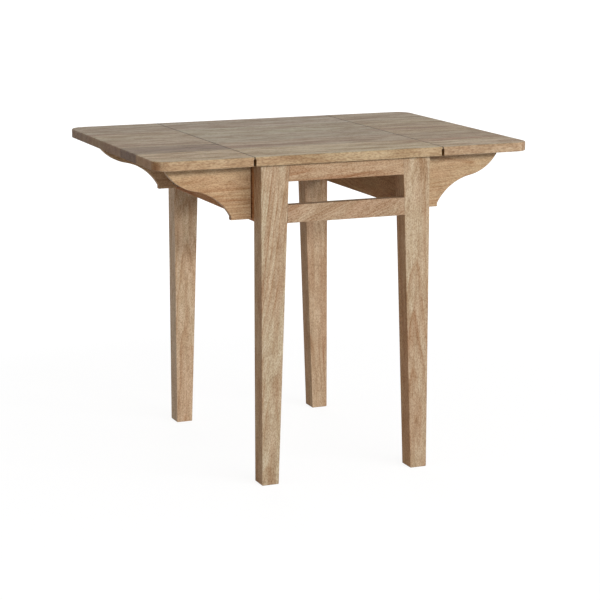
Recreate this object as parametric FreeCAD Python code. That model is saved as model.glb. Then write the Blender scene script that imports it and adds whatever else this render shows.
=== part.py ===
import FreeCAD, Part
import math
import os

from FreeCAD import Placement, Rotation, Vector

# Drop-leaf dining table, in millimetres.
# X runs along the extension, Y across it and Z up. The origin is on the floor under the middle of the top.
# Right is +X and front is -Y. Repeated pieces are drawn once, at the front right, and mirrored from there.

# Driving dimensions of the top
TABLE_HEIGHT = 760.0
TABLE_WIDTH = 680.0
CENTRE_LENGTH = 460.0
LEAF_LENGTH = 228.0
TOP_THICKNESS = 21.0
LEAF_CORNER_RADIUS = 38.0
TOP_ARRIS_RADIUS = 3.0
UNDER_ARRIS_RADIUS = 1.5
SEAM_GAP = 2.0
SEAM_LIP = 3.5
SEAM_BEVEL = 2.4

# Driving dimensions of the frame
SEAM_TO_LEG = 22.0
TOP_OVERHANG = 21.0
LEG_TOP_WIDTH = 68.0
LEG_FOOT_WIDTH = 41.0
LEG_DEPTH = 46.0
LEG_EDGE_RADIUS = 2.0
FOOT_CHAMFER = 1.0
RAIL_HEIGHT = 41.0
RAIL_THICKNESS = 22.0
SLOT_HEIGHT = 52.5
APRON_THICKNESS = 16.0
APRON_SETBACK = 1.0
BOARD_EDGE_RADIUS = 1.5
CLEAT_SIZE = 20.0
CLEAT_END_GAP = 44.0

# Driving dimensions of the mortise and tenon joints
RAIL_TENON_LENGTH = 20.0
RAIL_TENON_THICKNESS = 10.0
RAIL_TENON_SHOULDER = 8.0
APRON_TENON_LENGTH = 18.0
APRON_TENON_THICKNESS = 8.0
APRON_TENON_SHOULDER = 12.0
JOINT_CLEARANCE = 0.1
MORTISE_SPARE_DEPTH = 1.0

# Driving dimensions of the swinging brackets
BRACKET_THICKNESS = 16.0
BRACKET_LEG_GAP = 13.0
BRACKET_RISE = 4.5
BRACKET_FOOT_LENGTH = 47.0
BRACKET_TIP_INSET = 44.0
BRACKET_END_GAP = 3.0
LEAF_CLEARANCE = 0.3
OGEE_STEP = 8.0
OGEE_RUN = 4.0
OGEE_SLOPE_DEG = 12.0
OGEE_MIDDLE_SHARE = 0.54

# Driving dimensions of the hinges
FLAP_THICKNESS = 1.2
FLAP_SIDE_CLEARANCE = 0.1
KNUCKLE_GAP = 0.4
KNUCKLE_RELIEF = 0.4
PIN_CLEARANCE = 0.05
LEAF_HINGE_END_INSET = 10.0
LEAF_HINGE_FLAP_WIDTH = 25.0
LEAF_HINGE_KNUCKLES = 23
LEAF_HINGE_KNUCKLE_RADIUS = 2.5
LEAF_HINGE_PIN_RADIUS = 1.0
LEAF_HINGE_SCREWS = 9
LEAF_HINGE_SCREW_REACH = 15.0
LEAF_HINGE_SCREW_MARGIN = 18.0
LEAF_HINGE_SCREW_LENGTH = 14.0
LEAF_KNUCKLE_RISE = 0.2
LEAF_FLAP_RISE = 0.3
GROOVE_RELIEF = 1.0
BRACKET_HINGE_LENGTH = 44.0
BRACKET_HINGE_FLAP_WIDTH = 12.5
BRACKET_HINGE_KNUCKLES = 3
BRACKET_HINGE_KNUCKLE_RADIUS = 2.5
BRACKET_HINGE_PIN_RADIUS = 1.25
BRACKET_HINGE_PIN_OFFSET = 1.5
BRACKET_HINGE_MARGIN = 10.0
BRACKET_HINGE_SCREWS = 2
BRACKET_HINGE_SCREW_REACH = 8.0
BRACKET_HINGE_SCREW_MARGIN = 8.0
BRACKET_HINGE_SCREW_LENGTH = 12.0

# Driving dimensions of the screws
HINGE_SCREW_HEAD_RADIUS = 2.9
HINGE_SCREW_SHANK_RADIUS = 1.6
CLEAT_SCREW_HEAD_RADIUS = 3.8
CLEAT_SCREW_SHANK_RADIUS = 2.0
CLEAT_SCREW_HEAD_DEPTH = 2.2
CLEAT_SCREW_BITE = 12.0
CLEAT_SCREW_PITCH = 160.0
CLEAT_SCREW_STAGGER = 30.0
CLEAT_SCREWS = 3
SCREW_TIP_LENGTH = 3.0
SCREW_TIP_RADIUS = 0.4
SCREW_CLEARANCE = 0.05
CROSS_SLOT_DEPTH = 0.7
CROSS_SLOT_WIDTH = 0.8
CROSS_SLOT_RIM = 1.2

# Room that a cutting shape takes past the face that it opens
CUT_MARGIN = 1.0
TOLERANCE = 0.01

# Places worked out from the driving dimensions
UNDERSIDE_Z = TABLE_HEIGHT - TOP_THICKNESS
HALF_WIDTH = TABLE_WIDTH / 2
SEAM_X = CENTRE_LENGTH / 2
SEAM_LIP_Z = TABLE_HEIGHT - SEAM_LIP
LEAF_END_X = SEAM_X + LEAF_LENGTH
GROOVE_HALF_WIDTH = LEAF_HINGE_KNUCKLE_RADIUS + GROOVE_RELIEF
LEG_OUTER_X = SEAM_X - SEAM_TO_LEG
FRAME_FRONT_Y = -(HALF_WIDTH - TOP_OVERHANG)
LEG_BACK_Y = FRAME_FRONT_Y + LEG_DEPTH
UPPER_RAIL_Z = UNDERSIDE_Z - RAIL_HEIGHT
LOWER_RAIL_TOP_Z = UPPER_RAIL_Z - SLOT_HEIGHT
FRAME_BOTTOM_Z = LOWER_RAIL_TOP_Z - RAIL_HEIGHT
APRON_OUTER_X = LEG_OUTER_X - APRON_SETBACK
APRON_INNER_X = APRON_OUTER_X - APRON_THICKNESS
CLEAT_INNER_X = APRON_INNER_X - CLEAT_SIZE
CLEAT_END_Y = -LEG_BACK_Y - CLEAT_END_GAP
BRACKET_FRONT_Y = LEG_BACK_Y + BRACKET_LEG_GAP
BRACKET_FOLD_Y = BRACKET_FRONT_Y + BRACKET_THICKNESS
BRACKET_END_X = APRON_OUTER_X + BRACKET_END_GAP
BRACKET_TIP_X = LEAF_END_X - BRACKET_TIP_INSET
BRACKET_TOP_Z = UNDERSIDE_Z - LEAF_CLEARANCE
BRACKET_BOTTOM_Z = FRAME_BOTTOM_Z + BRACKET_RISE
BRACKET_PIN_X = APRON_OUTER_X + BRACKET_HINGE_PIN_OFFSET
BRACKET_PIN_Y = BRACKET_FOLD_Y + BRACKET_HINGE_PIN_OFFSET
BRACKET_HINGE_Z = [
    BRACKET_BOTTOM_Z + BRACKET_HINGE_MARGIN + BRACKET_HINGE_LENGTH / 2,
    BRACKET_TOP_Z - BRACKET_HINGE_MARGIN - BRACKET_HINGE_LENGTH / 2,
]
LEAF_PIN_Z = UNDERSIDE_Z + LEAF_KNUCKLE_RISE + LEAF_HINGE_KNUCKLE_RADIUS

AXIS_X = Vector(1, 0, 0)
AXIS_Y = Vector(0, 1, 0)
AXIS_Z = Vector(0, 0, 1)
ORIGIN = Vector(0, 0, 0)

SIDES = {"left": -1, "right": 1}
ENDS = {"front": 1, "rear": -1}


# Shapes that many pieces share


def block(x_low, x_high, y_low, y_high, z_low, z_high):
    """A box between two corners."""
    return Part.makeBox(x_high - x_low, y_high - y_low, z_high - z_low, Vector(x_low, y_low, z_low))


def prism(edges, direction):
    """A solid swept along a straight line from a closed flat outline of edges."""
    return Part.Face(Part.Wire(edges)).extrude(direction)


def polygon(corners):
    """The straight edges that join corners in turn and close the outline."""
    return [Part.LineSegment(a, b).toShape() for a, b in zip(corners, corners[1:] + corners[:1])]


def eased(shape, radius, chosen):
    """The shape with a round of one radius on each edge whose bounding box passes the test."""
    return shape.makeFillet(radius, [edge for edge in shape.Edges if chosen(edge.BoundBox)])


def spread(count, length):
    """Places of equal spacing over a length that is centred on zero."""
    return [length * (i / (count - 1) - 0.5) for i in range(count)]


def on_side(shape, side, end=1):
    """A piece drawn at the front right, mirrored to another side and end of the table."""
    if side < 0:
        shape = shape.mirror(ORIGIN, AXIS_X)
    if end < 0:
        shape = shape.mirror(ORIGIN, AXIS_Y)
    return shape


def placement(origin, along, up):
    """Where a piece drawn in its own frame goes: its X axis runs along, its Y axis points up."""
    return Placement(origin, Rotation(along, up, along.cross(up), "XYZ"))


def moved(shape, place):
    """A copy of a shape in another place."""
    copy = shape.copy()
    copy.Placement = place.multiply(copy.Placement)
    return copy


def leg_inner_x(z):
    """The leg's inner face leans from a wide top to a narrow foot."""
    return LEG_OUTER_X - LEG_FOOT_WIDTH - (LEG_TOP_WIDTH - LEG_FOOT_WIDTH) * z / UNDERSIDE_Z


# Wood screws


def wood_screw(head_radius, shank_radius, head_depth, length):
    """A countersunk screw with a cross slot, its head's face at zero and its tip up Z."""
    head = Part.makeCone(head_radius, shank_radius, head_depth)
    straight = length - head_depth - SCREW_TIP_LENGTH
    shank = Part.makeCylinder(shank_radius, straight, AXIS_Z * head_depth)
    tip_start = AXIS_Z * (length - SCREW_TIP_LENGTH)
    tip = Part.makeCone(shank_radius, SCREW_TIP_RADIUS, SCREW_TIP_LENGTH, tip_start)
    reach = head_radius - CROSS_SLOT_RIM
    half = CROSS_SLOT_WIDTH / 2
    slots = [
        block(-reach, reach, -half, half, -CUT_MARGIN, CROSS_SLOT_DEPTH),
        block(-half, half, -reach, reach, -CUT_MARGIN, CROSS_SLOT_DEPTH),
    ]
    return head.multiFuse([shank, tip]).removeSplitter().cut(slots)


def screw_hole(head_radius, shank_radius, head_depth, length):
    """The countersink and pilot hole that a screw of the same sizes drops into."""
    head = Part.makeCone(head_radius + SCREW_CLEARANCE, shank_radius + SCREW_CLEARANCE, head_depth)
    mouth = Part.makeCylinder(head_radius + SCREW_CLEARANCE, CUT_MARGIN, AXIS_Z * -CUT_MARGIN)
    depth = length + SCREW_CLEARANCE - head_depth
    pilot = Part.makeCylinder(shank_radius + SCREW_CLEARANCE, depth, AXIS_Z * head_depth)
    return head.multiFuse([mouth, pilot]).removeSplitter()


def screw_place(point, heading):
    """A screw's head at a point, its tip heading the given way."""
    return Placement(point, Rotation(AXIS_Z, heading))


# Hinges


class Hinge:
    """A hinge drawn about its own pin: the pin lies along Z, a flap runs along +X, its plate lies in -Y.

    plate_low is the plate's lower face, and screw_heading is +1 where the board lies above the plate.
    """

    def __init__(self, length, flap_width, plate_low, knuckle_radius, pin_radius, knuckles,
                 screw_count, screw_reach, screw_margin, screw_length, screw_heading):
        self.length = length
        self.flap_width = flap_width
        self.plate_low = plate_low
        self.plate_high = plate_low + FLAP_THICKNESS
        self.knuckle_radius = knuckle_radius
        self.pin_radius = pin_radius
        self.knuckles = knuckles
        self.screw_length = screw_length
        self.screw_heading = screw_heading
        head_level = self.plate_low if screw_heading > 0 else self.plate_high
        heights = spread(screw_count, length - 2 * screw_margin)
        self.screw_heads = [Vector(screw_reach, head_level, z) for z in heights]

    def knuckle(self, index, radius, spare):
        """One knuckle's outside, with spare room left out of each end or, if negative, added to it."""
        pitch = self.length / self.knuckles
        low = index * pitch - self.length / 2 + spare
        return Part.makeCylinder(radius, pitch - 2 * spare, AXIS_Z * low)

    def flap(self, first):
        """A plate with every second knuckle from the first, bored for the pin and holed for its screws.

        The notches for the other flap's knuckles also clear its plate where the two cross at a right angle.
        """
        own = range(first, self.knuckles, 2)
        others = range(1 - first, self.knuckles, 2)
        half = self.length / 2
        plate = block(0, self.flap_width, self.plate_low, self.plate_high, -half, half)
        notch_radius = math.hypot(self.plate_low, self.plate_low) + KNUCKLE_RELIEF
        notches = [self.knuckle(i, notch_radius, -KNUCKLE_GAP / 2) for i in others]
        plate = plate.cut(notches)
        rolls = [self.knuckle(i, self.knuckle_radius, KNUCKLE_GAP / 2) for i in own]
        body = plate.multiFuse(rolls).removeSplitter()
        bore = Part.makeCylinder(self.pin_radius + PIN_CLEARANCE, self.length, AXIS_Z * -half)
        return body.cut([bore] + self.screw_holes())

    def pin(self):
        """The round pin through all the knuckles."""
        return Part.makeCylinder(self.pin_radius, self.length, AXIS_Z * -(self.length / 2))

    def in_screw_places(self, shape):
        """Copies of a screw, or of its hole, at each screw of one flap."""
        return [moved(shape, screw_place(head, AXIS_Y * self.screw_heading)) for head in self.screw_heads]

    def screws(self):
        """The screws of one flap."""
        sizes = (HINGE_SCREW_HEAD_RADIUS, HINGE_SCREW_SHANK_RADIUS, FLAP_THICKNESS, self.screw_length)
        return self.in_screw_places(wood_screw(*sizes))

    def screw_holes(self):
        """The holes of one flap's screws, through the plate and into the board."""
        sizes = (HINGE_SCREW_HEAD_RADIUS, HINGE_SCREW_SHANK_RADIUS, FLAP_THICKNESS, self.screw_length)
        return self.in_screw_places(screw_hole(*sizes))

    def seat(self):
        """What one flap takes out of its board: a recess for the plate, a groove and the screws' holes."""
        half = self.length / 2 + FLAP_SIDE_CLEARANCE
        low = self.plate_low - (CUT_MARGIN if self.screw_heading > 0 else 0)
        high = self.plate_high + (CUT_MARGIN if self.screw_heading < 0 else 0)
        recess = block(0, self.flap_width + FLAP_SIDE_CLEARANCE, low, high, -half, half)
        groove = Part.makeCylinder(self.knuckle_radius + KNUCKLE_RELIEF, 2 * half, AXIS_Z * -half)
        return [recess, groove] + self.screw_holes()


LEAF_HINGE = Hinge(
    length=TABLE_WIDTH - 2 * LEAF_HINGE_END_INSET,
    flap_width=LEAF_HINGE_FLAP_WIDTH,
    plate_low=UNDERSIDE_Z + LEAF_FLAP_RISE - LEAF_PIN_Z,
    knuckle_radius=LEAF_HINGE_KNUCKLE_RADIUS,
    pin_radius=LEAF_HINGE_PIN_RADIUS,
    knuckles=LEAF_HINGE_KNUCKLES,
    screw_count=LEAF_HINGE_SCREWS,
    screw_reach=LEAF_HINGE_SCREW_REACH,
    screw_margin=LEAF_HINGE_SCREW_MARGIN,
    screw_length=LEAF_HINGE_SCREW_LENGTH,
    screw_heading=1,
)
BRACKET_HINGE = Hinge(
    length=BRACKET_HINGE_LENGTH,
    flap_width=BRACKET_HINGE_FLAP_WIDTH,
    plate_low=-BRACKET_HINGE_PIN_OFFSET - FLAP_THICKNESS,
    knuckle_radius=BRACKET_HINGE_KNUCKLE_RADIUS,
    pin_radius=BRACKET_HINGE_PIN_RADIUS,
    knuckles=BRACKET_HINGE_KNUCKLES,
    screw_count=BRACKET_HINGE_SCREWS,
    screw_reach=BRACKET_HINGE_SCREW_REACH,
    screw_margin=BRACKET_HINGE_SCREW_MARGIN,
    screw_length=BRACKET_HINGE_SCREW_LENGTH,
    screw_heading=-1,
)

# Where each flap lies: the right seam's two flaps, and the two flaps of the front right bracket's hinges
LEAF_PIN = Vector(SEAM_X, 0, LEAF_PIN_Z)
CENTRE_FLAP_PLACE = placement(LEAF_PIN, -AXIS_X, AXIS_Z)
LEAF_FLAP_PLACE = placement(LEAF_PIN, AXIS_X, AXIS_Z)
BRACKET_PINS = [Vector(BRACKET_PIN_X, BRACKET_PIN_Y, z) for z in BRACKET_HINGE_Z]
APRON_FLAP_PLACES = [placement(pin, AXIS_Y, AXIS_X) for pin in BRACKET_PINS]
BRACKET_FLAP_PLACES = [placement(pin, AXIS_X, AXIS_Y) for pin in BRACKET_PINS]


def at_places(shapes, places):
    """Copies of several shapes at each of several places."""
    return [moved(shape, place) for place in places for shape in shapes]


# The screws that hold each cleat to its apron and the top to each cleat


def cleat_screw_places(heading):
    """Screw places along the right cleat: into the apron along X, or up into the top along Z."""
    middle_x = CLEAT_INNER_X + CLEAT_SIZE / 2
    middle_z = UNDERSIDE_Z - CLEAT_SIZE / 2
    rows = spread(CLEAT_SCREWS, CLEAT_SCREW_PITCH * (CLEAT_SCREWS - 1))
    if heading == AXIS_X:
        return [screw_place(Vector(CLEAT_INNER_X, y, middle_z), heading) for y in rows]
    low = UNDERSIDE_Z - CLEAT_SIZE
    return [screw_place(Vector(middle_x, y + CLEAT_SCREW_STAGGER, low), heading) for y in rows]


CLEAT_SCREW_SIZES = (
    CLEAT_SCREW_HEAD_RADIUS,
    CLEAT_SCREW_SHANK_RADIUS,
    CLEAT_SCREW_HEAD_DEPTH,
    CLEAT_SIZE + CLEAT_SCREW_BITE,
)
APRON_SCREW_HOLES = at_places([screw_hole(*CLEAT_SCREW_SIZES)], cleat_screw_places(AXIS_X))
TOP_SCREW_HOLES = at_places([screw_hole(*CLEAT_SCREW_SIZES)], cleat_screw_places(AXIS_Z))


# The top: a fixed centre board and two leaves


def at_top(box):
    """Whether an edge lies in the table's top face."""
    return box.ZMin > TABLE_HEIGHT - TOLERANCE


def at_underside(box):
    """Whether an edge of the top lies in its under face."""
    return box.ZMax < UNDERSIDE_Z + TOLERANCE


def leaf_board():
    """The right leaf: an undercut seam edge, two round outer corners and eased arrises."""
    seam = SEAM_X + SEAM_GAP / 2
    undercut = SEAM_X + GROOVE_HALF_WIDTH

    def outer_corner(box):
        return box.XMin > LEAF_END_X - TOLERANCE and box.YLength < TOLERANCE

    def top_arris(box):
        return at_top(box) and box.XMax > seam + TOLERANCE

    def under_arris(box):
        return at_underside(box) and box.XMax > undercut + TOLERANCE

    outline = [
        Vector(seam, -HALF_WIDTH, TABLE_HEIGHT),
        Vector(LEAF_END_X, -HALF_WIDTH, TABLE_HEIGHT),
        Vector(LEAF_END_X, -HALF_WIDTH, UNDERSIDE_Z),
        Vector(undercut, -HALF_WIDTH, UNDERSIDE_Z),
        Vector(seam + SEAM_BEVEL, -HALF_WIDTH, SEAM_LIP_Z - SEAM_BEVEL),
        Vector(seam, -HALF_WIDTH, SEAM_LIP_Z),
    ]
    board = prism(polygon(outline), AXIS_Y * TABLE_WIDTH)
    board = eased(board, LEAF_CORNER_RADIUS, outer_corner)
    board = eased(board, TOP_ARRIS_RADIUS, top_arris)
    board = eased(board, UNDER_ARRIS_RADIUS, under_arris)
    return board.cut(at_places(LEAF_HINGE.seat(), [LEAF_FLAP_PLACE]))


def centre_board():
    """The fixed middle of the top, undercut at both seams and drilled for the cleats' screws."""
    seam = SEAM_X - SEAM_GAP / 2
    undercut = SEAM_X - GROOVE_HALF_WIDTH
    right = [
        (seam, TABLE_HEIGHT),
        (seam, SEAM_LIP_Z),
        (seam - SEAM_BEVEL, SEAM_LIP_Z - SEAM_BEVEL),
        (undercut, UNDERSIDE_Z),
    ]
    left = [(-x, z) for x, z in reversed(right)]
    outline = [Vector(x, -HALF_WIDTH, z) for x, z in right + left]
    board = prism(polygon(outline), AXIS_Y * TABLE_WIDTH)
    board = eased(board, TOP_ARRIS_RADIUS, lambda b: at_top(b) and b.YLength < TOLERANCE)
    board = eased(board, UNDER_ARRIS_RADIUS, lambda b: at_underside(b) and b.YLength < TOLERANCE)
    cuts = at_places(LEAF_HINGE.seat(), [CENTRE_FLAP_PLACE]) + TOP_SCREW_HOLES
    return board.cut([on_side(cut, side) for cut in cuts for side in SIDES.values()])


# The frame: four legs, four rails, two side aprons and two cleats


def rail_tenon(low, high, clearance, spare):
    """The tenons at both ends of a front rail, as one bar; with clearance and spare depth, their mortises."""
    reach = leg_inner_x((low + high) / 2) + RAIL_TENON_LENGTH + spare
    middle = FRAME_FRONT_Y + RAIL_THICKNESS / 2
    half = RAIL_TENON_THICKNESS / 2 + clearance
    bottom = low + RAIL_TENON_SHOULDER - clearance
    top = high - RAIL_TENON_SHOULDER + clearance
    return block(-reach, reach, middle - half, middle + half, bottom, top)


def apron_tenon(clearance, spare):
    """The right apron's tenons at both ends, as one bar; with clearance and spare depth, their mortises."""
    reach = -LEG_BACK_Y + APRON_TENON_LENGTH + spare
    middle = (APRON_INNER_X + APRON_OUTER_X) / 2
    half = APRON_TENON_THICKNESS / 2 + clearance
    bottom = FRAME_BOTTOM_Z + APRON_TENON_SHOULDER - clearance
    top = UNDERSIDE_Z - APRON_TENON_SHOULDER + clearance
    return block(middle - half, middle + half, -reach, reach, bottom, top)


def leg():
    """The front right leg: outer faces upright, inner face tapered, mortised for two rails and an apron."""
    outline = [
        Vector(LEG_OUTER_X, FRAME_FRONT_Y, 0),
        Vector(LEG_OUTER_X, FRAME_FRONT_Y, UNDERSIDE_Z),
        Vector(leg_inner_x(UNDERSIDE_Z), FRAME_FRONT_Y, UNDERSIDE_Z),
        Vector(leg_inner_x(0), FRAME_FRONT_Y, 0),
    ]
    post = prism(polygon(outline), AXIS_Y * LEG_DEPTH)
    post = eased(post, LEG_EDGE_RADIUS, lambda b: b.ZLength > UNDERSIDE_Z - TOLERANCE)
    post = post.makeChamfer(FOOT_CHAMFER, [edge for edge in post.Edges if edge.BoundBox.ZMax < TOLERANCE])
    mortises = [
        rail_tenon(UPPER_RAIL_Z, UNDERSIDE_Z, JOINT_CLEARANCE, MORTISE_SPARE_DEPTH),
        rail_tenon(FRAME_BOTTOM_Z, LOWER_RAIL_TOP_Z, JOINT_CLEARANCE, MORTISE_SPARE_DEPTH),
        apron_tenon(JOINT_CLEARANCE, MORTISE_SPARE_DEPTH),
    ]
    return post.cut(mortises)


def rail(low, high):
    """A front rail between two heights, flush with the legs' front, its ends cut to their taper."""
    outline = [
        Vector(leg_inner_x(low), FRAME_FRONT_Y, low),
        Vector(leg_inner_x(high), FRAME_FRONT_Y, high),
        Vector(-leg_inner_x(high), FRAME_FRONT_Y, high),
        Vector(-leg_inner_x(low), FRAME_FRONT_Y, low),
    ]
    bar = prism(polygon(outline), AXIS_Y * RAIL_THICKNESS)
    bar = eased(bar, BOARD_EDGE_RADIUS, lambda b: b.XLength > leg_inner_x(low))
    return bar.fuse(rail_tenon(low, high, 0, 0)).removeSplitter()


def apron():
    """The right apron: a board between the legs, recessed for two hinge flaps of each bracket."""

    def lower_arris(box):
        return box.YLength > -LEG_BACK_Y and box.ZMax < FRAME_BOTTOM_Z + TOLERANCE

    board = block(APRON_INNER_X, APRON_OUTER_X, LEG_BACK_Y, -LEG_BACK_Y, FRAME_BOTTOM_Z, UNDERSIDE_Z)
    board = eased(board, BOARD_EDGE_RADIUS, lower_arris)
    board = board.fuse(apron_tenon(0, 0)).removeSplitter()
    seats = at_places(BRACKET_HINGE.seat(), APRON_FLAP_PLACES)
    return board.cut([on_side(seat, 1, end) for seat in seats for end in ENDS.values()] + APRON_SCREW_HOLES)


def cleat():
    """The right cleat: a square batten inside the apron that carries the top's screws."""
    low = UNDERSIDE_Z - CLEAT_SIZE
    batten = block(CLEAT_INNER_X, APRON_INNER_X, -CLEAT_END_Y, CLEAT_END_Y, low, UNDERSIDE_Z)
    return batten.cut(APRON_SCREW_HOLES + TOP_SCREW_HOLES)


# The swinging brackets


def tangent_arc(start, heading, finish):
    """The arc that leaves a point along a heading in the XZ plane and ends at another point."""
    chord = finish - start
    normal = Vector(-heading.z, 0, heading.x)
    radius = chord.dot(chord) / (2 * normal.dot(chord))
    centre = start + normal * radius
    bow = (start + finish) * 0.5 - centre
    middle = centre + bow.normalize() * abs(radius)
    return Part.Arc(start, middle, finish).toShape()


def bracket():
    """The front right bracket: its under edge is an ogee of two arcs and a slope, stepped at each end."""

    def under_arris(box):
        below_leaf = box.ZMin < BRACKET_TOP_Z - TOLERANCE
        return box.YLength < TOLERANCE and below_leaf and box.XMax > BRACKET_END_X + TOLERANCE

    heel = Vector(BRACKET_END_X, BRACKET_FRONT_Y, BRACKET_BOTTOM_Z)
    head = Vector(BRACKET_END_X, BRACKET_FRONT_Y, BRACKET_TOP_Z)
    tip = Vector(BRACKET_TIP_X, BRACKET_FRONT_Y, BRACKET_TOP_Z)
    toe = Vector(BRACKET_END_X + BRACKET_FOOT_LENGTH, BRACKET_FRONT_Y, BRACKET_BOTTOM_Z)
    low = toe + AXIS_Z * OGEE_STEP
    high = tip - AXIS_Z * OGEE_STEP
    angle = math.radians(OGEE_SLOPE_DEG)
    rising = Vector(math.cos(angle), 0, math.sin(angle))
    middle = low + (high - low) * OGEE_MIDDLE_SHARE
    upper = middle + rising * (OGEE_RUN / 2)
    lower = middle - rising * (OGEE_RUN / 2)
    outline = [
        Part.LineSegment(heel, head).toShape(),
        Part.LineSegment(head, tip).toShape(),
        Part.LineSegment(tip, high).toShape(),
        tangent_arc(upper, rising, high),
        Part.LineSegment(upper, lower).toShape(),
        tangent_arc(lower, -rising, low),
        Part.LineSegment(low, toe).toShape(),
        Part.LineSegment(toe, heel).toShape(),
    ]
    board = prism(Part.sortEdges(outline)[0], AXIS_Y * BRACKET_THICKNESS)
    board = eased(board, BOARD_EDGE_RADIUS, under_arris)
    return board.cut(at_places(BRACKET_HINGE.seat(), BRACKET_FLAP_PLACES))


# Every node, by name


def top_nodes():
    """The centre board, and on each side a leaf, its continuous hinge and that hinge's screws."""
    nodes = {"centre_top": [centre_board()]}
    one_side = {
        "leaf": [leaf_board()],
        "leaf_hinge_centre_flap": at_places([LEAF_HINGE.flap(0)], [CENTRE_FLAP_PLACE]),
        "leaf_hinge_leaf_flap": at_places([LEAF_HINGE.flap(1)], [LEAF_FLAP_PLACE]),
        "leaf_hinge_pin": at_places([LEAF_HINGE.pin()], [LEAF_FLAP_PLACE]),
        "leaf_hinge_centre_screws": at_places(LEAF_HINGE.screws(), [CENTRE_FLAP_PLACE]),
        "leaf_hinge_leaf_screws": at_places(LEAF_HINGE.screws(), [LEAF_FLAP_PLACE]),
    }
    for side, sign in SIDES.items():
        for name, shapes in one_side.items():
            nodes[f"{name}_{side}"] = [on_side(shape, sign) for shape in shapes]
    return nodes


def frame_nodes():
    """Legs, rails, aprons, cleats and the cleats' screws."""
    nodes = {}
    rails = {
        "upper_rail": rail(UPPER_RAIL_Z, UNDERSIDE_Z),
        "lower_rail": rail(FRAME_BOTTOM_Z, LOWER_RAIL_TOP_Z),
    }
    screw = wood_screw(*CLEAT_SCREW_SIZES)
    boards = {"side_apron": [apron()], "top_cleat": [cleat()]}
    screws = {"cleat_screws": AXIS_X, "top_screws": AXIS_Z}
    for end, end_sign in ENDS.items():
        for name, shape in rails.items():
            nodes[f"{end}_{name}"] = [on_side(shape, 1, end_sign)]
        for side, sign in SIDES.items():
            nodes[f"leg_{end}_{side}"] = [on_side(leg(), sign, end_sign)]
    for side, sign in SIDES.items():
        for name, shapes in boards.items():
            nodes[f"{name}_{side}"] = [on_side(shape, sign) for shape in shapes]
        for name, heading in screws.items():
            group = at_places([screw], cleat_screw_places(heading))
            nodes[f"{name}_{side}"] = [on_side(shape, sign) for shape in group]
    return nodes


def bracket_nodes():
    """At each corner a bracket, and the flaps, pins and screws of its two hinges."""
    nodes = {}
    one_corner = {
        "bracket": [bracket()],
        "bracket_hinge_apron_flaps": at_places([BRACKET_HINGE.flap(0)], APRON_FLAP_PLACES),
        "bracket_hinge_bracket_flaps": at_places([BRACKET_HINGE.flap(1)], BRACKET_FLAP_PLACES),
        "bracket_hinge_pins": at_places([BRACKET_HINGE.pin()], BRACKET_FLAP_PLACES),
        "bracket_hinge_apron_screws": at_places(BRACKET_HINGE.screws(), APRON_FLAP_PLACES),
        "bracket_hinge_bracket_screws": at_places(BRACKET_HINGE.screws(), BRACKET_FLAP_PLACES),
    }
    for end, end_sign in ENDS.items():
        for side, sign in SIDES.items():
            for name, shapes in one_corner.items():
                nodes[f"{name}_{end}_{side}"] = [on_side(shape, sign, end_sign) for shape in shapes]
    return nodes


def main():
    """Build every node and write it to its own file."""
    os.makedirs("parts", exist_ok=True)
    nodes = {**top_nodes(), **frame_nodes(), **bracket_nodes()}
    for name, shapes in nodes.items():
        solids = [solid for shape in shapes for solid in shape.Solids]
        node = solids[0] if len(solids) == 1 else Part.makeCompound(solids)
        node.exportStep(f"parts/{name}.step")
        volume = sum(solid.Volume for solid in solids) / 1000
        print(f"{name}: {len(solids)} solids, {volume:.2f} cm3, valid {node.isValid()}")
    print(f"{len(nodes)} nodes")


main()
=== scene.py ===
# %% [markdown]
# # A drop-leaf dining table in oiled hardwood
#
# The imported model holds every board, hinge flap, pin and screw of the table at its real size and in its
# place. Nothing about those shapes needs to change, so this lesson is about finish: it gives each piece
# the wood or steel that it has on the real table, and then a camera and soft light to see it by.
# Every pattern is worked out by nodes from a point's own place in the table, so it stays with its board
# when a leaf lifts or a bracket swings.

# %% Load the table
import math

import bpy
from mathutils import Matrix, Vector


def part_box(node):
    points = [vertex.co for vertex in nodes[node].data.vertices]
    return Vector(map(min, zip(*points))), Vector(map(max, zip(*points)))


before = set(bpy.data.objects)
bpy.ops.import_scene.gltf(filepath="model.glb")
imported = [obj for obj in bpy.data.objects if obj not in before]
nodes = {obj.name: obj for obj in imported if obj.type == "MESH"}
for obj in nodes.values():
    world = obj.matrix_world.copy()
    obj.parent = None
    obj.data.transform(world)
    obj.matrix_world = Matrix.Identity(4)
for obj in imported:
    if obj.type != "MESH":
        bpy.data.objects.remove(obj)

scene = bpy.context.scene
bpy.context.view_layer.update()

# %% [markdown]
# ## The camera
#
# A camera could be set by eye, but then no edge of the render lies on its edge in the photograph. Here the
# camera was worked out from the photograph: the place and angle from which the table's top, seams, legs
# and feet project onto their own pixels. A long lens, far away, keeps the upright edges nearly parallel.

# %% Set the camera
CAMERA_PLACE = Vector((-1.804, -4.379, 1.353))
CAMERA_YAW = math.radians(22.59)
CAMERA_DIP = math.radians(11.893)
LENS_MM = 119.4
SENSOR_MM = 36.0

camera = bpy.data.objects.new("camera", bpy.data.cameras.new("camera"))
camera.data.lens = LENS_MM
camera.data.sensor_width = SENSOR_MM
camera.location = CAMERA_PLACE
camera.rotation_euler = (math.pi / 2 - CAMERA_DIP, 0, -CAMERA_YAW)
scene.collection.objects.link(camera)
scene.camera = camera
scene.view_settings.view_transform = "Standard"
print(f"camera {CAMERA_PLACE.length:.2f} m from the middle of the floor under the table")

# %% [markdown]
# ## Shorthand for node trees
#
# A finish is a tree of nodes, and wiring one by hand in Python is wordy: make a node, set it, find the
# right sockets, link them. A small class with one short method for each kind of node keeps the recipes
# below readable. Its methods take outputs or plain numbers, and most give back the new node's output.


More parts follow.
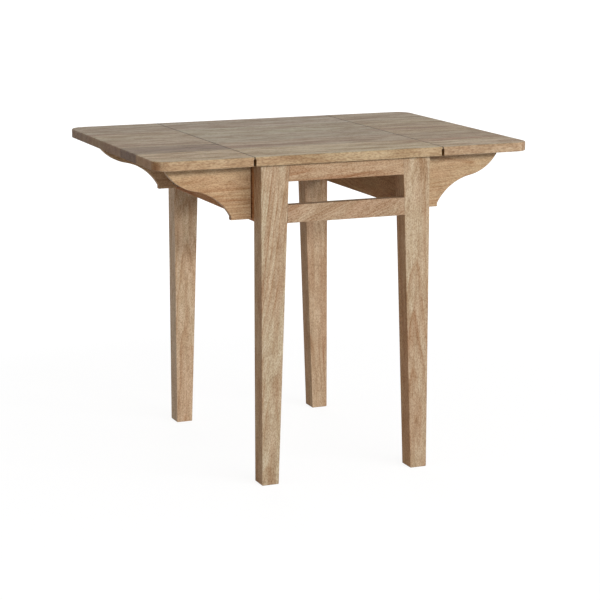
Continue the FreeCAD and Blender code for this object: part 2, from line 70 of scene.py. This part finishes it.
# %% A recipe for a node tree
class Recipe:
    """Short ways to add the nodes that a finish needs to one node tree."""

    def __init__(self, tree):
        self.tree = tree

    def node(self, kind, inputs=(), **settings):
        """One node, its properties set, and its first inputs linked or set in turn."""
        made = self.tree.nodes.new("ShaderNode" + kind)
        for name, value in settings.items():
            setattr(made, name, value)
        for socket, value in zip(made.inputs, inputs):
            self.feed(socket, value)
        return made

    def feed(self, socket, value):
        """Link an output to a socket, or set the socket's own value."""
        if isinstance(value, bpy.types.NodeSocket):
            self.tree.links.new(value, socket)
        else:
            socket.default_value = value

    def math(self, operation, *values):
        """The result of a Math node."""
        return self.node("Math", values, operation=operation).outputs[0]

    def rest(self, share):
        """What is left of a whole when a share of it is taken away."""
        return self.math("SUBTRACT", 1.0, share)

    def vector(self, operation, *values):
        """The result of a Vector Math node: a number for a length or a dot product, or else a vector."""
        made = self.node("VectorMath", values, operation=operation)
        return made.outputs["Value" if operation in ("LENGTH", "DOT_PRODUCT") else "Vector"]

    def fade(self, value, low, high):
        """0 up to low, 1 from high on, and a smooth rise between them."""
        return self.node("MapRange", (value, low, high), interpolation_type="SMOOTHSTEP").outputs[0]

    def noise(self, place, cycles, detail=2.0, rough=0.5):
        """Noise with so many cycles a metre along the grain and across it: a number and a colour."""
        along, across = cycles
        stretched = self.vector("MULTIPLY", place, (along, across, across))
        made = self.node("TexNoise", (stretched,))
        made.inputs["Scale"].default_value = 1.0
        made.inputs["Detail"].default_value = detail
        made.inputs["Roughness"].default_value = rough
        return made.outputs

    def mark(self, place, cycles, cut, **kind):
        """A mark where a noise is strong: none below the cut's low end, and a full one above its high end."""
        return self.fade(self.noise(place, cycles, **kind)[0], *cut)

    def mix(self, share, before, after, blend="MIX"):
        """A colour that goes from before to after as share goes from 0 to 1."""
        made = self.node("Mix", data_type="RGBA", blend_type=blend)
        by_name = {socket.identifier: socket for socket in made.inputs}
        self.feed(by_name["Factor_Float"], share)
        self.feed(by_name["A_Color"], before)
        self.feed(by_name["B_Color"], after)
        return made.outputs[2]

    def stain(self, colour, stain, share):
        """A colour darkened by a stain, as much as share says."""
        return self.mix(share, colour, stain, "MULTIPLY")


def new_finish(name):
    """An empty node material and the recipe that fills it."""
    material = bpy.data.materials.new(name)
    material.use_nodes = True
    material.node_tree.nodes.clear()
    return material, Recipe(material.node_tree)


print("node recipes ready")

# %% [markdown]
# ## Colours as they look
#
# A colour read off a screen is coded for the screen by the sRGB curve, with more steps for the dark tones.
# Nodes add and multiply light, so they need it linear. Writing colours the first way and turning them over
# in one small function keeps the numbers below easy to compare with a picture of the table.


# %% From screen colours to light
def linear(red, green, blue):
    """A colour given as it looks on a screen, from 0 to 255, in the linear values that nodes work in."""
    shares = [value / 255 for value in (red, green, blue)]
    return (*[s / 12.92 if s <= 0.04045 else ((s + 0.055) / 1.055) ** 2.4 for s in shares], 1.0)


print(f"middle grey on a screen is {linear(128, 128, 128)[0]:.2f} of white light")

# %% [markdown]
# ## Lamps
#
# The photograph is a studio picture. Its light comes from the front, a little to the right and about 15
# degrees up: the thin shadow under the top's front edge says so, and so does the longer one on the rear
# legs. One wide strip of a lamp there lights the fronts, wide enough to reach the rear legs round the front
# ones. A lamp low at the back and a weak one on the left keep the rear and the ends from going dull. None
# of them is seen in a reflection, so the oiled top has no glare from any side.

# %% Hang the lamps
LAMP_AIM = Vector((0.0, 0.0, 0.6))
LAMPS = {
    "front_lamp": {"place": Vector((2.6, -9.7, 3.35)), "size": (15.0, 1.0), "level": 1.04},
    "back_lamp": {"place": Vector((2.2, 9.0, 1.6)), "size": (6.0, 1.5), "level": 0.35},
    "side_lamp": {"place": Vector((-6.0, 0.4, 0.9)), "size": (3.0, 2.0), "level": 0.06},
}


def soft_lamp(name, place, size, level):
    """A rectangular lamp aimed at the table, which lights a facing white card to the given level.

    A lamp of power P lights a card at a distance d with P / (pi d^2), and a white card under an
    irradiance of pi looks white, so P is level times (pi d)^2.
    """
    beam = LAMP_AIM - place
    lamp = bpy.data.objects.new(name, bpy.data.lights.new(name, "AREA"))
    lamp.data.shape = "RECTANGLE"
    lamp.data.size, lamp.data.size_y = size
    lamp.data.energy = level * (math.pi * beam.length) ** 2
    lamp.location = place
    lamp.rotation_euler = beam.to_track_quat("-Z", "Y").to_euler()
    lamp.visible_camera = False
    lamp.visible_glossy = False
    scene.collection.objects.link(lamp)
    print(f"{name}: {lamp.data.energy:.0f} W at {beam.length:.2f} m")


for name, lamp in LAMPS.items():
    soft_lamp(name, **lamp)

# %% [markdown]
# ## White all round
#
# The world gives a soft, even light from every side. It has to be weak, or nothing would be in shade, but a
# weak world looks grey. The Light Path node tells the rays apart: those from the camera, and those that a
# shiny surface sends back, meet plain white, and all others meet the weak light. So the background is white
# without any more light on the wood. The white that the top mirrors is a little warm, as studio walls are.

# %% Make the world
WORLD_LIGHT = 0.31
WHITE = (1.0, 1.0, 1.0, 1.0)
WALL_COLOUR = linear(255, 250, 241)

world = bpy.data.worlds.new("studio")
world.use_nodes = True
scene.world = world
background = world.node_tree.nodes["Background"].inputs
studio = Recipe(world.node_tree)
rays = studio.node("LightPath").outputs
shown = studio.math("MAXIMUM", rays["Is Camera Ray"], rays["Is Glossy Ray"])
strength = studio.node("MapRange", (shown, 0.0, 1.0, WORLD_LIGHT, 1.0)).outputs[0]
studio.feed(background["Color"], studio.mix(rays["Is Glossy Ray"], WHITE, WALL_COLOUR))
studio.feed(background["Strength"], strength)
print(f"the world lights the table at {WORLD_LIGHT:.0%} of the white that it shows")

# %% [markdown]
# ## The floor
#
# A white floor under soft lamps comes out grey. Here the camera sees a mixture: a part of the floor's real
# shading, which carries the table's shadow, and a glow that makes up the rest of the white. Away from the
# table the shading fades out, or the far floor, where the lamps don't reach, would show as a grey band.
# Light that bounces off the floor comes from the shading alone. Seen from below the floor is clear, so
# that the underside of the table can be looked at too.

# %% Lay the floor
FLOOR_HALF = 30.0
FLOOR_COLOUR = (0.85, 0.85, 0.85, 1.0)
FLOOR_SHADING = 0.25
FLOOR_LIT = 0.5
SHADING_NEAR = 1.0
SHADING_FAR = 2.5

floor_mesh = bpy.data.meshes.new("floor")
corners = [(-FLOOR_HALF, -FLOOR_HALF, 0), (FLOOR_HALF, -FLOOR_HALF, 0),
           (FLOOR_HALF, FLOOR_HALF, 0), (-FLOOR_HALF, FLOOR_HALF, 0)]
floor_mesh.from_pydata(corners, [], [(0, 1, 2, 3)])
floor = bpy.data.objects.new("floor", floor_mesh)
scene.collection.objects.link(floor)

white_floor, paint = new_finish("white_floor")
shaded = paint.node("BsdfDiffuse", (FLOOR_COLOUR,)).outputs[0]
glow = (1.0 - FLOOR_SHADING * FLOOR_LIT) / (1.0 - FLOOR_SHADING)
glowing = paint.node("Emission", (WHITE, glow)).outputs[0]
from_table = paint.vector("LENGTH", paint.node("TexCoord").outputs["Object"])
near = paint.rest(paint.fade(from_table, SHADING_NEAR, SHADING_FAR))
white_share = paint.rest(paint.math("MULTIPLY", near, FLOOR_SHADING))
share = paint.math("MULTIPLY", paint.node("LightPath").outputs["Is Camera Ray"], white_share)
above = paint.node("MixShader", (share, shaded, glowing)).outputs[0]
clear = paint.node("BsdfTransparent").outputs[0]
from_below = paint.node("NewGeometry").outputs["Backfacing"]
one_sided = paint.node("MixShader", (from_below, above, clear)).outputs[0]
paint.node("OutputMaterial", (one_sided,))
floor_mesh.materials.append(white_floor)
print(f"floor keeps {FLOOR_SHADING:.0%} of its shading within {SHADING_NEAR:.0f} m")

# %% [markdown]
# ## The wood
#
# The table is an oiled pale hardwood: tan, mottled with short flecks, with a few reddish brown streaks and
# a faint figure of growth rings. A photograph of wood wrapped round the boards would show its seams at every
# edge. A solid wood has none: think of a log lying along X, with rings round its heart and fibres along it,
# and of each board as a piece sawn from such a log. The rings come first: they are circles round the heart,
# cut by the board's faces into lines, arches or stripes.

# %% Growth rings
RING_WIDTH = 0.006
LOG_TAPER = 0.03
LATE_WOOD_POWER = 3.0
LATE_WOOD_END = 0.85
CLEAR_RINGS = {"cycles": (6.0, 25.0), "cut": (0.34, 0.6)}


def growth_rings(recipe, place):
    """How dark each point's growth ring is there, from 0 to 1.

    The distance from the heart, plus a taper along the log, over the ring width: its fraction is the
    ring's age at the point. The wood darkens slowly with that age and ends sharply at the next ring, and
    a slow noise lets the rings fade out in places.
    """
    along, across, through = recipe.node("SeparateXYZ", (place,)).outputs
    slice_place = recipe.node("CombineXYZ", (0.0, across, through)).outputs[0]
    radius = recipe.vector("LENGTH", slice_place)
    reach = recipe.math("MULTIPLY_ADD", along, LOG_TAPER, radius)
    age = recipe.math("FRACT", recipe.math("DIVIDE", reach, RING_WIDTH))
    late = recipe.math("POWER", age, LATE_WOOD_POWER)
    ring = recipe.math("MULTIPLY", late, recipe.rest(recipe.fade(age, LATE_WOOD_END, 1.0)))
    return recipe.math("MULTIPLY", ring, recipe.mark(place, **CLEAR_RINGS))


print(f"rings {RING_WIDTH * 1000:.0f} mm wide")

# %% [markdown]
# ## Grain, flecks and pores
#
# The other marks of the wood are longer along the grain than across it, each at its own scale: pale and
# pink patches as wide as a thumb, brown streaks, a mottle, flecks of a few millimetres, fibres and open
# pores. Noise gives all of them, with few cycles a metre along the grain and many across it, and a cut that
# says where the noise is strong enough to leave a mark. A first noise bends the grain itself, so that
# nothing runs dead straight. The node group below is the whole log. It takes a place in it, a board's tint,
# how bold its streaks and mottle are and how strong its flecks, and gives the colour, the roughness and the
# height of the surface there.

# %% The log
WANDER_CYCLES = (3.0, 9.0)
NOISE_MIDDLE = (0.5, 0.5, 0.5)
GRAIN_BEND = 0.02
PATCHES = {"cycles": (5.0, 24.0), "cut": (0.36, 0.64)}
STREAKS = {"cycles": (3.5, 60.0), "cut": (0.52, 0.72), "detail": 3.0}
MOTTLE = {"cycles": (16.0, 75.0), "cut": (0.4, 0.66), "detail": 5.0, "rough": 0.68}
FLECKS = {"cycles": (240.0, 520.0), "cut": (0.42, 0.62)}
FIBRES = {"cycles": (30.0, 600.0), "detail": 3.0}
FIBRE_CUT = (0.35, 0.7)
PORES = {"cycles": (140.0, 1300.0), "cut": (0.6, 0.74), "detail": 1.0}
PALE_PATCH = linear(253, 253, 246)
PINK_PATCH = linear(249, 241, 232)
STREAK_STAIN = linear(204, 170, 142)
RING_STAIN = linear(206, 174, 142)
RING_SHARE = 0.9
MOTTLE_STAIN = linear(206, 190, 172)
FLECK_STAIN = linear(176, 150, 124)
FIBRE_STAIN = linear(240, 232, 224)
FIBRE_HEIGHT = 0.5
PORE_STAIN = linear(150, 122, 98)
PORE_SHARE = 0.55
OILED_ROUGHNESS = 0.42
PORE_ROUGHNESS = 0.2
MOTTLE_ROUGHNESS = 0.1
LOG_SOCKETS = (
    ("Place", "INPUT", "NodeSocketVector"),
    ("Tint", "INPUT", "NodeSocketColor"),
    ("Boldness", "INPUT", "NodeSocketFloat"),
    ("Flecks", "INPUT", "NodeSocketFloat"),
    ("Colour", "OUTPUT", "NodeSocketColor"),
    ("Roughness", "OUTPUT", "NodeSocketFloat"),
    ("Height", "OUTPUT", "NodeSocketFloat"),
)


def log_group():
    """A node group for the log: a place in metres, with the grain along X, to colour, roughness, height.

    Each mark stains the tint by its share; pores are also dull and sunken, and fibres stand a little proud.
    """
    group = bpy.data.node_groups.new("hardwood_log", "ShaderNodeTree")
    for name, way, kind in LOG_SOCKETS:
        group.interface.new_socket(name, in_out=way, socket_type=kind)
    recipe = Recipe(group)
    given = group.nodes.new("NodeGroupInput").outputs
    tint, boldness = given["Tint"], given["Boldness"]
    wander = recipe.vector("SUBTRACT", recipe.noise(given["Place"], WANDER_CYCLES)[1], NOISE_MIDDLE)
    place = recipe.vector("MULTIPLY_ADD", wander, (0.0, GRAIN_BEND, GRAIN_BEND), given["Place"])

    patch = recipe.mark(place, **PATCHES)
    streak = recipe.mark(place, **STREAKS)
    ring = growth_rings(recipe, place)
    mottle = recipe.mark(place, **MOTTLE)
    fleck = recipe.mark(place, **FLECKS)
    fibre = recipe.noise(place, **FIBRES)[0]
    pore = recipe.mark(place, **PORES)

    colour = recipe.mix(patch, recipe.stain(tint, PALE_PATCH, 1.0), recipe.stain(tint, PINK_PATCH, 1.0))
    colour = recipe.stain(colour, STREAK_STAIN, recipe.math("MULTIPLY", streak, boldness))
    colour = recipe.stain(colour, RING_STAIN, recipe.math("MULTIPLY", ring, RING_SHARE))
    colour = recipe.stain(colour, MOTTLE_STAIN, recipe.math("MULTIPLY", mottle, boldness))
    colour = recipe.stain(colour, FLECK_STAIN, recipe.math("MULTIPLY", fleck, given["Flecks"]))
    colour = recipe.stain(colour, FIBRE_STAIN, recipe.fade(fibre, *FIBRE_CUT))
    colour = recipe.stain(colour, PORE_STAIN, recipe.math("MULTIPLY", pore, PORE_SHARE))

    dull = recipe.math("MULTIPLY_ADD", pore, PORE_ROUGHNESS, OILED_ROUGHNESS)
    result = group.nodes.new("NodeGroupOutput").inputs
    recipe.feed(result["Colour"], colour)
    recipe.feed(result["Roughness"], recipe.math("MULTIPLY_ADD", mottle, MOTTLE_ROUGHNESS, dull))
    recipe.feed(result["Height"], recipe.math("SUBTRACT", recipe.math("MULTIPLY", fibre, FIBRE_HEIGHT), pore))
    return group


hardwood_log = log_group()
print(f"log of {len(hardwood_log.nodes)} nodes")

# %% [markdown]
# ## An oiled surface
#
# On a finished board the log's pattern meets the plane, the sandpaper and the oil. Where a face cuts across
# the fibres, the end grain drinks more oil and is darker. A sharp edge gets rubbed, so the Bevel node, which
# sees how far the normal leans near an edge, lightens the arrises a little. The oil leaves a thin film:
# its sheen is the shader's specular level, one number for a whole board.

# %% Oil a surface
END_GRAIN_STAIN = linear(214, 190, 148)
END_GRAIN_TURN = (0.6, 0.95)
RUBBED_WIDTH = 0.003
RUBBED_SAMPLES = 4
RUBBED_LEAN = (0.02, 0.3)
RUBBED_SHARE = 0.4
GRAIN_DEPTH = 0.0004
GRAIN_STRENGTH = 0.5


def oiled_surface(recipe, place, tint, grain, boldness, flecks, sheen):
    """The shader of an oiled board: the log's pattern, dark end grain, rubbed arrises and open pores."""
    wood = recipe.node("Group", node_tree=hardwood_log)
    recipe.feed(wood.inputs["Place"], place)
    recipe.feed(wood.inputs["Tint"], tint)
    recipe.feed(wood.inputs["Boldness"], boldness)
    recipe.feed(wood.inputs["Flecks"], flecks)
    own_normal = recipe.node("TexCoord").outputs["Normal"]
    facing = recipe.math("ABSOLUTE", recipe.vector("DOT_PRODUCT", own_normal, grain))
    colour = recipe.stain(wood.outputs["Colour"], END_GRAIN_STAIN, recipe.fade(facing, *END_GRAIN_TURN))
    flat_normal = recipe.node("NewGeometry").outputs["Normal"]
    round_normal = recipe.node("Bevel", (RUBBED_WIDTH,), samples=RUBBED_SAMPLES).outputs[0]
    lean = recipe.rest(recipe.vector("DOT_PRODUCT", round_normal, flat_normal))
    rubbed = recipe.math("MULTIPLY", recipe.fade(lean, *RUBBED_LEAN), RUBBED_SHARE)
    bump = recipe.node("Bump")
    bump.inputs["Strength"].default_value = GRAIN_STRENGTH
    bump.inputs["Distance"].default_value = GRAIN_DEPTH
    recipe.feed(bump.inputs["Height"], wood.outputs["Height"])
    shader = recipe.node("BsdfPrincipled")
    shader.inputs["Specular IOR Level"].default_value = sheen
    recipe.feed(shader.inputs["Base Color"], recipe.mix(rubbed, colour, tint))
    recipe.feed(shader.inputs["Roughness"], wood.outputs["Roughness"])
    recipe.feed(shader.inputs["Normal"], bump.outputs[0])
    recipe.node("OutputMaterial", (shader.outputs[0],))


def give_finish(node, material):
    """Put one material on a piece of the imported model."""
    nodes[node].data.materials.clear()
    nodes[node].data.materials.append(material)


print(f"arrises rubbed {RUBBED_WIDTH * 1000:.0f} mm wide")

# %% [markdown]
# ## Boards sawn from the log
#
# A board is placed in its log by a Mapping node: of the type Texture, it puts the log's heart where its
# location says and turns the log as its rotation says. The heart lies a little outside the board, as in
# most sawn timber, and each board has its own stretch of the log, so no two are alike. A board may also have
# a second tint on the faces that look along X, which paints in the light and shade that those sides get.

# %% Saw one board
ALONG_X = (0.0, 0.0, 0.0)
ALONG_Y = (0.0, 0.0, math.pi / 2)
ALONG_Z = (0.0, -math.pi / 2, 0.0)
GRAIN_AXIS = {ALONG_X: (1.0, 0.0, 0.0), ALONG_Y: (0.0, 1.0, 0.0), ALONG_Z: (0.0, 0.0, 1.0)}
SIDE_LIGHT_TURN = (0.5, 0.9)
FRAME_SHEEN = 0.05
FRAME_BOLDNESS = 0.4
FRAME_FLECKS = 0.5


def saw_board(node, tint, grain, heart, lean=0.0, side_light_tint=None, flecks=FRAME_FLECKS, sheen=FRAME_SHEEN):
    """Give a board its own wood, and perhaps a second tint, painted light and shade, on the faces that look
    along X.

    heart is the way from the board's middle to the log's heart, in metres; lean turns the log about Y.
    """
    low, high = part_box(node)
    material, recipe = new_finish(f"{node}_wood")
    coordinates = recipe.node("TexCoord").outputs
    mapping = recipe.node("Mapping", vector_type="TEXTURE")
    recipe.feed(mapping.inputs["Vector"], coordinates["Object"])
    mapping.inputs["Location"].default_value = (low + high) / 2 + heart
    mapping.inputs["Rotation"].default_value = Vector(grain) + Vector((0.0, lean, 0.0))
    tone = linear(*tint)
    # painted light and shade: faces that look along X take the side tint instead of the front's
    if side_light_tint:
        sideways = recipe.node("SeparateXYZ", (coordinates["Normal"],)).outputs["X"]
        side = recipe.fade(recipe.math("ABSOLUTE", sideways), *SIDE_LIGHT_TURN)
        tone = recipe.mix(side, tone, linear(*side_light_tint))
    oiled_surface(recipe, mapping.outputs[0], tone, GRAIN_AXIS[grain], FRAME_BOLDNESS, flecks, sheen)
    give_finish(node, material)


print(f"the grain can lie along {len(GRAIN_AXIS)} axes")

# %% [markdown]
# ## Legs
#
# Each tapered leg is one length of timber with the grain upright. On the real table the four differ in tone,
# so each has a tint for its front. Each also has a tint for its sides, which paints in the light and shade
# that those sides get, such as warm light bounced off the brackets. One material for all of them would be
# shorter, but then every leg would show the same marks at the same height, which the eye finds at once. The
# front left leg also leans in its log, for the slanting lines that it has.

# %% Saw the legs
# each leg: a tint for its front, then a tint for its sides that paints in their light and shade
LEG_TINTS = {
    "leg_front_left": ((198, 184, 164), (197, 169, 141)),
    "leg_front_right": ((195, 178, 157), (201, 168, 136)),
    "leg_rear_left": ((219, 199, 176), (222, 205, 186)),
    "leg_rear_right": ((206, 183, 160), (200, 173, 145)),
}
LEG_LEANS = {"leg_front_left": 0.1}
LEG_HEART = Vector((0.012, 0.035, 0.0))
LEG_STEP = Vector((-0.008, 0.0, 0.7))
LEG_FLECKS = 0.46

for number, (node, (tint, side_light_tint)) in enumerate(LEG_TINTS.items()):
    heart = LEG_HEART + number * LEG_STEP
    saw_board(node, tint, ALONG_Z, heart, LEG_LEANS.get(node, 0.0), side_light_tint, LEG_FLECKS)
print(f"{len(LEG_TINTS)} legs sawn")

# %% [markdown]
# ## Rails, aprons and cleats
#
# The rails run from leg to leg along the table and the aprons across it, so their grain does too. The lower
# front rail was sawn at a slant, and the upper one slightly, so their rings run out across the face: leaning
# the log does the same. The aprons are tinted redder, which paints in the warm light that bounces between the
# wood in their shade under the leaves. The cleats that hold the top are screwed to them out of sight, and get
# the same wood.

# %% Saw the rails, aprons and cleats
RAIL_TINTS = {
    "front_upper_rail": (189, 164, 140),
    "front_lower_rail": (189, 168, 147),
    "rear_upper_rail": (192, 170, 145),
    "rear_lower_rail": (192, 170, 145),
}
RAIL_LEANS = {"front_lower_rail": -0.42, "front_upper_rail": -0.06}
RAIL_HEART = Vector((0.0, 0.05, 0.02))
RAIL_STEP = Vector((0.9, 0.0, 0.0))
# redder tints: painted warm light bounced between the wood in the shade under the leaves; the cleats share
# them
APRON_TINTS = {"left": (196, 146, 102), "right": (186, 150, 112)}
APRON_HEART = Vector((0.08, 0.0, 0.02))
APRON_STEP = Vector((0.0, 1.1, 0.0))
CLEAT_HEART = Vector((0.05, 0.0, 0.04))
CLEAT_STEP = Vector((0.0, 1.3, 0.0))

for number, (node, tint) in enumerate(RAIL_TINTS.items()):
    saw_board(node, tint, ALONG_X, RAIL_HEART + number * RAIL_STEP, RAIL_LEANS.get(node, 0.0))
for number, (side, tint) in enumerate(APRON_TINTS.items()):
    saw_board(f"side_apron_{side}", tint, ALONG_Y, APRON_HEART + number * APRON_STEP)
    saw_board(f"top_cleat_{side}", tint, ALONG_Y, CLEAT_HEART + number * CLEAT_STEP)
print(f"{len(RAIL_TINTS)} rails, {len(APRON_TINTS)} aprons and {len(APRON_TINTS)} cleats sawn")

# %% [markdown]
# ## Brackets
#
# The four brackets that swing out under the leaves are sawn to an ogee from thin boards, with the grain along
# their length. They are handled more than the frame, and have more sheen.

# %% Saw the brackets
BRACKET_TINTS = {
    "bracket_front_left": (201, 175, 144),
    "bracket_front_right": (196, 173, 144),
    "bracket_rear_left": (205, 178, 146),
    "bracket_rear_right": (205, 178, 146),
}
BRACKET_HEART = Vector((0.5, 0.06, 0.03))
BRACKET_STEP = Vector((0.8, 0.0, 0.0))
BRACKET_FLECKS = 0.42
BRACKET_SHEEN = 0.35

for number, (node, tint) in enumerate(BRACKET_TINTS.items()):
    heart = BRACKET_HEART + number * BRACKET_STEP
    saw_board(node, tint, ALONG_X, heart, flecks=BRACKET_FLECKS, sheen=BRACKET_SHEEN)
print(f"{len(BRACKET_TINTS)} brackets sawn")

# %% [markdown]
# ## The top
#
# Each board of the top is glued up from planks, and each plank has its own heart, far from the others', so
# the tone and the grain change at every joint. Nodes can step across the board: at each joint a Greater Than
# gives 0 before it and 1 after it, and that mask switches the tint and the heart over to the next plank's.
# The same planks run on through the leaves, as they do on the real table. Thin dark lines are drawn as well:
# glue at the joints, and painted shade in the seams where a leaf meets the centre. The edges get a painted
# shade too, darker and browner than the faces to offset the white sheen that they mirror, and their figure is
# quieter; the whole figure of the top is broader than the frame's.

# %% Glue up the top
PLANK_JOINTS = (-0.197, -0.084, 0.045, 0.178)
PLANK_HEARTS = (
    (11.0, -0.25, 0.70),
    (1.3, -0.16, 0.69),
    (2.9, -0.01, 0.71),
    (4.1, 0.13, 0.70),
    (5.6, 0.24, 0.68),
)
TOP_TINTS = {
    "leaf_left": ((201, 183, 153), (136, 115, 87), (175, 159, 134), (178, 164, 139), (165, 152, 131)),
    "centre_top": ((201, 187, 157), (177, 161, 138), (175, 168, 149), (176, 170, 149), (170, 158, 143)),
    "leaf_right": ((203, 188, 163), (164, 145, 116), (178, 160, 128), (172, 158, 127), (166, 152, 128)),
}
GLUE_LINE = 0.0007
GLUE_STAIN = linear(120, 96, 78)
# painted shade in the seams: a dark line where a leaf meets the centre and little light gets in
SEAM_X = 0.23
SEAM_HALF = 0.001
SEAM_SHADE_WIDTH = 0.0007
SEAM_SHADE_COLOUR = linear(96, 78, 64)
FACE_TURN = (0.3, 0.9)
# painted shade on the edges: darker and browner, to offset the white sheen that the edges mirror
EDGE_SHADE_COLOUR = linear(237, 226, 222)
EDGE_BOLDNESS = 0.5
TOP_BOLDNESS = 1.1
TOP_FIGURE = 0.6
TOP_FLECKS = 0.48
TOP_SHEEN = 0.5


def near_line(recipe, value, line, half, blur):
    """1 within half of a line across a value, fading to 0 over the blur beyond it."""
    distance = recipe.math("ABSOLUTE", recipe.math("SUBTRACT", value, line))
    return recipe.rest(recipe.fade(distance, half, half + blur))


def glue_up(node, tints):
    """Give a board of the top its planks: a tint and a heart for each, glue lines, and painted shade in the
    seams and on the edges.

    The hearts are places in the table, in metres, and switch over in the same way as the tints.
    """
    material, recipe = new_finish(f"{node}_wood")
    coordinates = recipe.node("TexCoord").outputs
    here = coordinates["Object"]
    along, across, _ = recipe.node("SeparateXYZ", (here,)).outputs
    tint = linear(*tints[0])
    heart = (*PLANK_HEARTS[0], 1.0)
    glue = 0.0
    for joint, next_tint, next_heart in zip(PLANK_JOINTS, tints[1:], PLANK_HEARTS[1:]):
        past = recipe.math("GREATER_THAN", across, joint)
        tint = recipe.mix(past, tint, linear(*next_tint))
        heart = recipe.mix(past, heart, (*next_heart, 1.0))
        glue = recipe.math("MAXIMUM", near_line(recipe, across, joint, 0.0, GLUE_LINE), glue)
    # painted shade: darkens the wood within a millimetre or two of each seam, where the gap is in shade
    seam_shade = near_line(recipe, recipe.math("ABSOLUTE", along), SEAM_X, SEAM_HALF, SEAM_SHADE_WIDTH)
    upright = recipe.node("SeparateXYZ", (coordinates["Normal"],)).outputs["Z"]
    face = recipe.fade(recipe.math("ABSOLUTE", upright), *FACE_TURN)
    tint = recipe.stain(tint, GLUE_STAIN, glue)
    tint = recipe.stain(tint, SEAM_SHADE_COLOUR, seam_shade)
    # painted shade on the faces that don't look up, which offsets the white sheen that they mirror
    tint = recipe.stain(tint, EDGE_SHADE_COLOUR, recipe.rest(face))
    boldness = recipe.math("MULTIPLY_ADD", face, TOP_BOLDNESS - EDGE_BOLDNESS, EDGE_BOLDNESS)
    place = recipe.vector("MULTIPLY", recipe.vector("SUBTRACT", here, heart), (TOP_FIGURE,) * 3)
    oiled_surface(recipe, place, tint, GRAIN_AXIS[ALONG_X], boldness, TOP_FLECKS, TOP_SHEEN)
    give_finish(node, material)


for node, tints in TOP_TINTS.items():
    glue_up(node, tints)
print(f"{len(TOP_TINTS)} boards of {len(PLANK_HEARTS)} planks glued up")

# %% [markdown]
# ## Steel
#
# The hinges and screws are plated steel gone dull and brown, out of sight under the top apart from the ends
# of the knuckles in the seams. A metal needs no paint: the shader's Metallic is 1, a cloudy noise varies the
# plating's colour, and a noise drawn out across X brushes its roughness.

# %% Steel for hinges and screws
PLATE_COLOUR = linear(96, 88, 78)
DULL_PLATE_COLOUR = linear(70, 62, 52)
CLOUDS = {"cycles": (90.0, 90.0), "cut": (0.3, 0.7), "detail": 3.0}
BRUSH_CYCLES = (2200.0, 160.0)
PLATE_ROUGHNESS = 0.25
BRUSH_ROUGHNESS = 0.25


def plated_steel(name):
    """Plate on rolled steel: a cloudy brownish grey with fine brushing and a soft shine."""
    material, recipe = new_finish(name)
    here = recipe.node("TexCoord").outputs["Object"]
    cloud = recipe.mark(here, **CLOUDS)
    brushed = recipe.noise(here, BRUSH_CYCLES)[0]
    roughness = recipe.math("MULTIPLY_ADD", brushed, BRUSH_ROUGHNESS, PLATE_ROUGHNESS)
    shader = recipe.node("BsdfPrincipled")
    shader.inputs["Metallic"].default_value = 1.0
    recipe.feed(shader.inputs["Base Color"], recipe.mix(cloud, PLATE_COLOUR, DULL_PLATE_COLOUR))
    recipe.feed(shader.inputs["Roughness"], roughness)
    recipe.node("OutputMaterial", (shader.outputs[0],))
    return material


steel = plated_steel("plated_steel")
steel_nodes = [name for name in nodes if "hinge" in name or "screws" in name]
for node in steel_nodes:
    give_finish(node, steel)
print(f"{len(steel_nodes)} pieces of steel")
